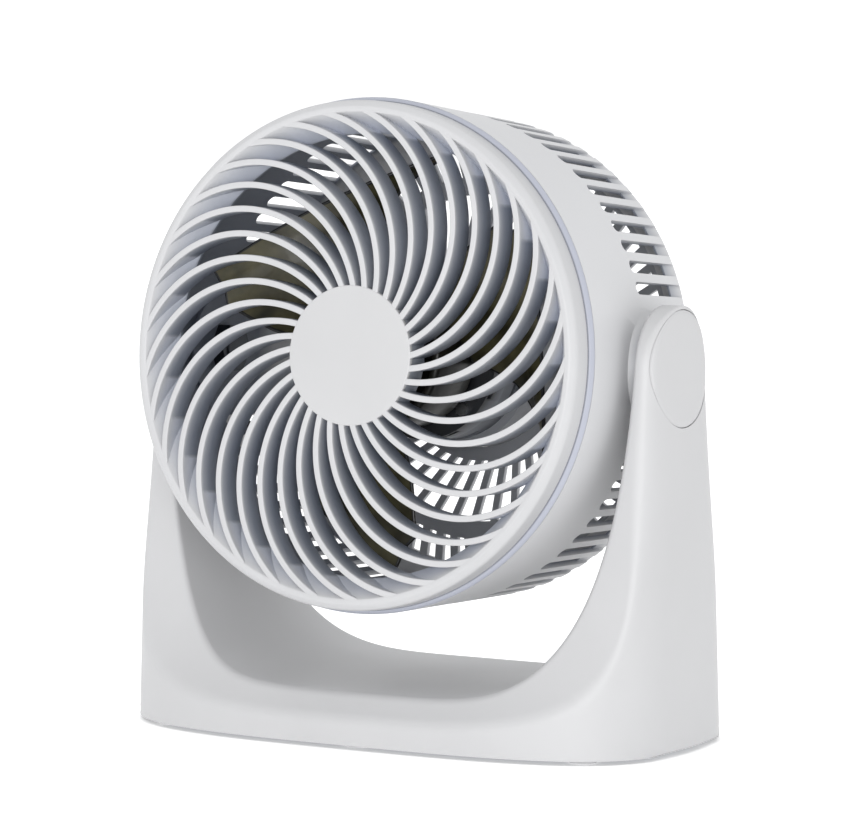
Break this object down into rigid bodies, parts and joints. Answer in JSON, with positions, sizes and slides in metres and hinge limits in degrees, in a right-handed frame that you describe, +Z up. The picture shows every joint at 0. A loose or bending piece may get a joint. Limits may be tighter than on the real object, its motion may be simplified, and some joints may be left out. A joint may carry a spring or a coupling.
{
  "type": "desk air circulator fan",
  "caption": "Round desk air circulator: swirl-vane grille and slotted rear housing on a head that tilts between the arms of a U-shaped stand.",
  "frame": {"origin": "on the table under the middle of the stand, directly below the tilt axis; the table is z = 0", "axes": "+Z up; the fan blows towards -Y; +X is to the right as seen by someone facing the front grille; the tilt axis runs along X"},
  "size_m": [0.292, 0.1578, 0.3081],
  "materials": {
    "shell_white": "satin moulded white plastic",
    "badge_white": "smooth satin white plastic",
    "trim_blue_grey": "pale blue-grey satin plastic",
    "knob_white": "satin white plastic",
    "inner_grey": "dark grey moulded plastic",
    "black_plastic": "black moulded plastic",
    "impeller_smoke": "glossy dark smoky plastic",
    "bush_plastic": "natural acetal",
    "washer_fibre": "dark fibre friction washer",
    "foot_rubber": "pale grey rubber",
    "steel": "plain zinc plated steel",
    "winding_copper": "enamelled copper wire",
    "capacitor_body": "cream moulded plastic",
    "lead_sleeve": "red insulated wire"
  },
  "bodies": {
    "stand": {"yoke_shell": "shell_white", "base_plate": "inner_grey", "base_ballast": "steel", "rubber_feet": "foot_rubber", "base_screws": "steel", "left_pivot_cap": "shell_white", "right_pivot_cap": "shell_white", "pivot_bushes": "bush_plastic"},
    "head": {"front_grille": "shell_white", "hub_badge": "badge_white", "grille_screw": "steel", "trim_ring": "trim_blue_grey", "rear_housing": "shell_white", "rear_grille": "shell_white", "motor_cup": "shell_white", "pivot_pins": "steel", "pivot_nuts": "steel", "friction_washers": "washer_fibre", "thrust_washers": "steel", "motor_rear_shell": "inner_grey", "motor_front_shell": "inner_grey", "stator_core": "steel", "stator_windings": "winding_copper", "motor_bearings": "steel", "motor_bolts": "steel", "mount_screws": "steel", "rear_cover": "shell_white", "cover_screws": "steel", "run_capacitor": "capacitor_body", "rotary_switch": "black_plastic", "terminal_block": "capacitor_body", "switch_leads": "lead_sleeve", "cord_gland": "black_plastic", "gland_nut": "black_plastic"},
    "rotor": {"motor_shaft": "steel", "rotor_core": "steel", "shaft_collars": "bush_plastic", "impeller": "impeller_smoke", "impeller_nut": "black_plastic"},
    "knob": {"speed_knob": "knob_white", "knob_pointer": "inner_grey", "switch_spindle": "steel"}
  },
  "joints": [
    {"name": "head_tilt", "type": "hinge", "parent": "stand", "child": "head", "pos_m": [0, 0, 0.1815], "axis": [-1, 0, 0], "range_deg": [-4.5, 85.5]},
    {"name": "impeller_spin", "type": "hinge", "parent": "head", "child": "rotor", "pos_m": [0, 0, 0.1815], "axis": [0, -0.9969, 0.0785], "continuous": true},
    {"name": "speed_knob_turn", "type": "hinge", "parent": "head", "child": "knob", "pos_m": [0, 0.06978, 0.17601], "axis": [0, 0.9969, -0.0785], "range_deg": [0, 135]}
  ]
}
